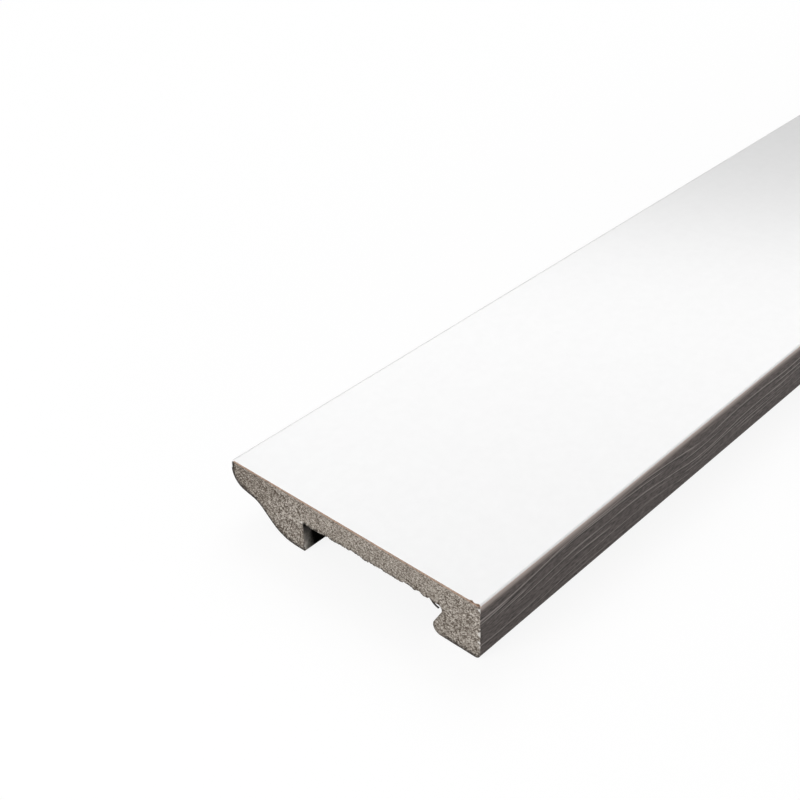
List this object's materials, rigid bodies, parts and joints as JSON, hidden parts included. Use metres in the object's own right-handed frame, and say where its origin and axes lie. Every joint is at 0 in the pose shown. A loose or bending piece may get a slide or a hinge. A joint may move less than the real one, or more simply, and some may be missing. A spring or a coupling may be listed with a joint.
{
  "type": "skirting board",
  "caption": "Flat skirting board of extruded foam with a white face film, a rounded top lip, an ogee back and an undercut channel between its wall ribs.",
  "frame": {"origin": "on the wall plane, under the middle of the face, half-way along the board", "axes": "+X along the board, +Y from the floor edge to the top edge, +Z from the wall plane to the face, which is up as the board lies"},
  "size_m": [2.4, 0.08, 0.016],
  "materials": {
    "foam": "grey extruded skin, granular taupe foam where sawn",
    "film": "satin white"
  },
  "bodies": {
    "root": {"moulded_core": "foam", "face_film": "film"}
  },
  "joints": []
}
